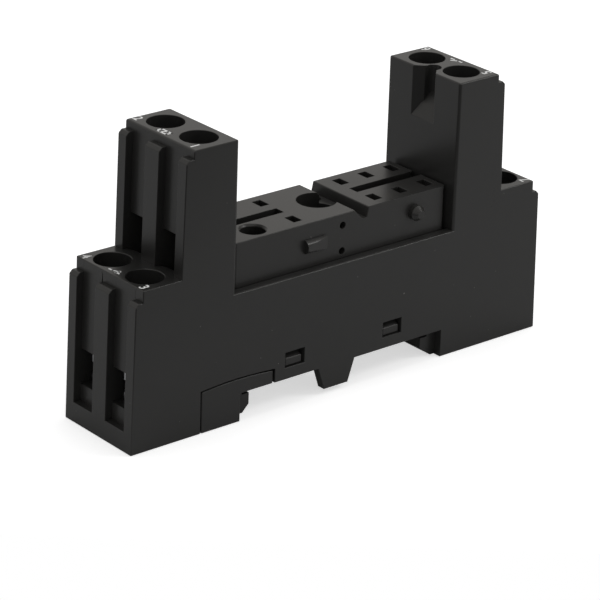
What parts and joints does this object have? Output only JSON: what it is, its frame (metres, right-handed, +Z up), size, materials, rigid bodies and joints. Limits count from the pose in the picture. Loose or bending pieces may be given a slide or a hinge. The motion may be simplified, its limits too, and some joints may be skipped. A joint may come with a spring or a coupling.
{
  "type": "relay socket",
  "caption": "Slim black screw-terminal socket that clips on a 35 mm rail and takes a two-pole plug-in relay between its two terminal towers.",
  "frame": {"origin": "middle of the base, on the plane of the end feet", "axes": "+X along the socket away from the rail latch, +Y across it to the back, +Z up out of the relay seat"},
  "size_m": [0.0774, 0.0158, 0.0433],
  "materials": {
    "housing_plastic": "moulded black polyamide, fine satin texture",
    "carrier_plastic": "moulded black polyamide, satin",
    "foot_plastic": "moulded black polyamide, satin",
    "spring_steel": "bright drawn spring wire",
    "screw_steel": "zinc plated steel",
    "cage_steel": "zinc plated pressed steel",
    "contact_metal": "tinned copper alloy strip"
  },
  "bodies": {
    "socket": {"housing": "housing_plastic", "contact_carrier": "carrier_plastic", "bottom_cover": "housing_plastic", "rail_foot": "foot_plastic", "latch_spring": "spring_steel", "contact_strip_a1": "contact_metal", "contact_strip_a2": "contact_metal", "contact_strip_12": "contact_metal", "contact_strip_22": "contact_metal", "contact_strip_14": "contact_metal", "contact_strip_24": "contact_metal", "contact_strip_11": "contact_metal", "contact_strip_21": "contact_metal"},
    "latch": {"rail_latch": "foot_plastic"},
    "screw_a1": {"terminal_screw_a1": "screw_steel"},
    "clamp_a1": {"clamp_cage_a1": "cage_steel"},
    "screw_a2": {"terminal_screw_a2": "screw_steel"},
    "clamp_a2": {"clamp_cage_a2": "cage_steel"},
    "screw_12": {"terminal_screw_12": "screw_steel"},
    "clamp_12": {"clamp_cage_12": "cage_steel"},
    "screw_22": {"terminal_screw_22": "screw_steel"},
    "clamp_22": {"clamp_cage_22": "cage_steel"},
    "screw_14": {"terminal_screw_14": "screw_steel"},
    "clamp_14": {"clamp_cage_14": "cage_steel"},
    "screw_24": {"terminal_screw_24": "screw_steel"},
    "clamp_24": {"clamp_cage_24": "cage_steel"},
    "screw_11": {"terminal_screw_11": "screw_steel"},
    "clamp_11": {"clamp_cage_11": "cage_steel"},
    "screw_21": {"terminal_screw_21": "screw_steel"},
    "clamp_21": {"clamp_cage_21": "cage_steel"}
  },
  "joints": [
    {"name": "latch_slide", "type": "slide", "parent": "socket", "child": "latch", "axis": [-1, 0, 0], "range_m": [0, 0.002], "stiffness_N_per_m": 1500, "springref_m": -0.001, "deforming": ["latch_spring"]},
    {"name": "screw_turn_a1", "type": "hinge", "parent": "socket", "child": "screw_a1", "pos_m": [-0.0244, -0.0038, 0.0374], "axis": [0, 0, -1], "range_deg": [0, 2881]},
    {"name": "clamp_lift_a1", "type": "slide", "parent": "socket", "child": "clamp_a1", "axis": [0, 0, 1], "range_m": [0, 0.004]},
    {"name": "screw_turn_a2", "type": "hinge", "parent": "socket", "child": "screw_a2", "pos_m": [-0.0244, 0.0038, 0.0374], "axis": [0, 0, -1], "range_deg": [0, 2881]},
    {"name": "clamp_lift_a2", "type": "slide", "parent": "socket", "child": "clamp_a2", "axis": [0, 0, 1], "range_m": [0, 0.004]},
    {"name": "screw_turn_12", "type": "hinge", "parent": "socket", "child": "screw_12", "pos_m": [-0.03344, -0.0038, 0.0185], "axis": [0, 0, -1], "range_deg": [0, 2881]},
    {"name": "clamp_lift_12", "type": "slide", "parent": "socket", "child": "clamp_12", "axis": [0, 0, 1], "range_m": [0, 0.004]},
    {"name": "screw_turn_22", "type": "hinge", "parent": "socket", "child": "screw_22", "pos_m": [-0.03344, 0.0038, 0.0185], "axis": [0, 0, -1], "range_deg": [0, 2881]},
    {"name": "clamp_lift_22", "type": "slide", "parent": "socket", "child": "clamp_22", "axis": [0, 0, 1], "range_m": [0, 0.004]},
    {"name": "screw_turn_14", "type": "hinge", "parent": "socket", "child": "screw_14", "pos_m": [0.0244, -0.0038, 0.0374], "axis": [0, 0, -1], "range_deg": [0, 2881]},
    {"name": "clamp_lift_14", "type": "slide", "parent": "socket", "child": "clamp_14", "axis": [0, 0, 1], "range_m": [0, 0.004]},
    {"name": "screw_turn_24", "type": "hinge", "parent": "socket", "child": "screw_24", "pos_m": [0.0244, 0.0038, 0.0374], "axis": [0, 0, -1], "range_deg": [0, 2881]},
    {"name": "clamp_lift_24", "type": "slide", "parent": "socket", "child": "clamp_24", "axis": [0, 0, 1], "range_m": [0, 0.004]},
    {"name": "screw_turn_11", "type": "hinge", "parent": "socket", "child": "screw_11", "pos_m": [0.03344, -0.0038, 0.0185], "axis": [0, 0, -1], "range_deg": [0, 2881]},
    {"name": "clamp_lift_11", "type": "slide", "parent": "socket", "child": "clamp_11", "axis": [0, 0, 1], "range_m": [0, 0.004]},
    {"name": "screw_turn_21", "type": "hinge", "parent": "socket", "child": "screw_21", "pos_m": [0.03344, 0.0038, 0.0185], "axis": [0, 0, -1], "range_deg": [0, 2881]},
    {"name": "clamp_lift_21", "type": "slide", "parent": "socket", "child": "clamp_21", "axis": [0, 0, 1], "range_m": [0, 0.004]}
  ],
  "couplings": [
    {"joint": "screw_turn_a1", "follows": "clamp_lift_a1", "rad_per_m": 12566},
    {"joint": "screw_turn_a2", "follows": "clamp_lift_a2", "rad_per_m": 12566},
    {"joint": "screw_turn_12", "follows": "clamp_lift_12", "rad_per_m": 12566},
    {"joint": "screw_turn_22", "follows": "clamp_lift_22", "rad_per_m": 12566},
    {"joint": "screw_turn_14", "follows": "clamp_lift_14", "rad_per_m": 12566},
    {"joint": "screw_turn_24", "follows": "clamp_lift_24", "rad_per_m": 12566},
    {"joint": "screw_turn_11", "follows": "clamp_lift_11", "rad_per_m": 12566},
    {"joint": "screw_turn_21", "follows": "clamp_lift_21", "rad_per_m": 12566}
  ]
}
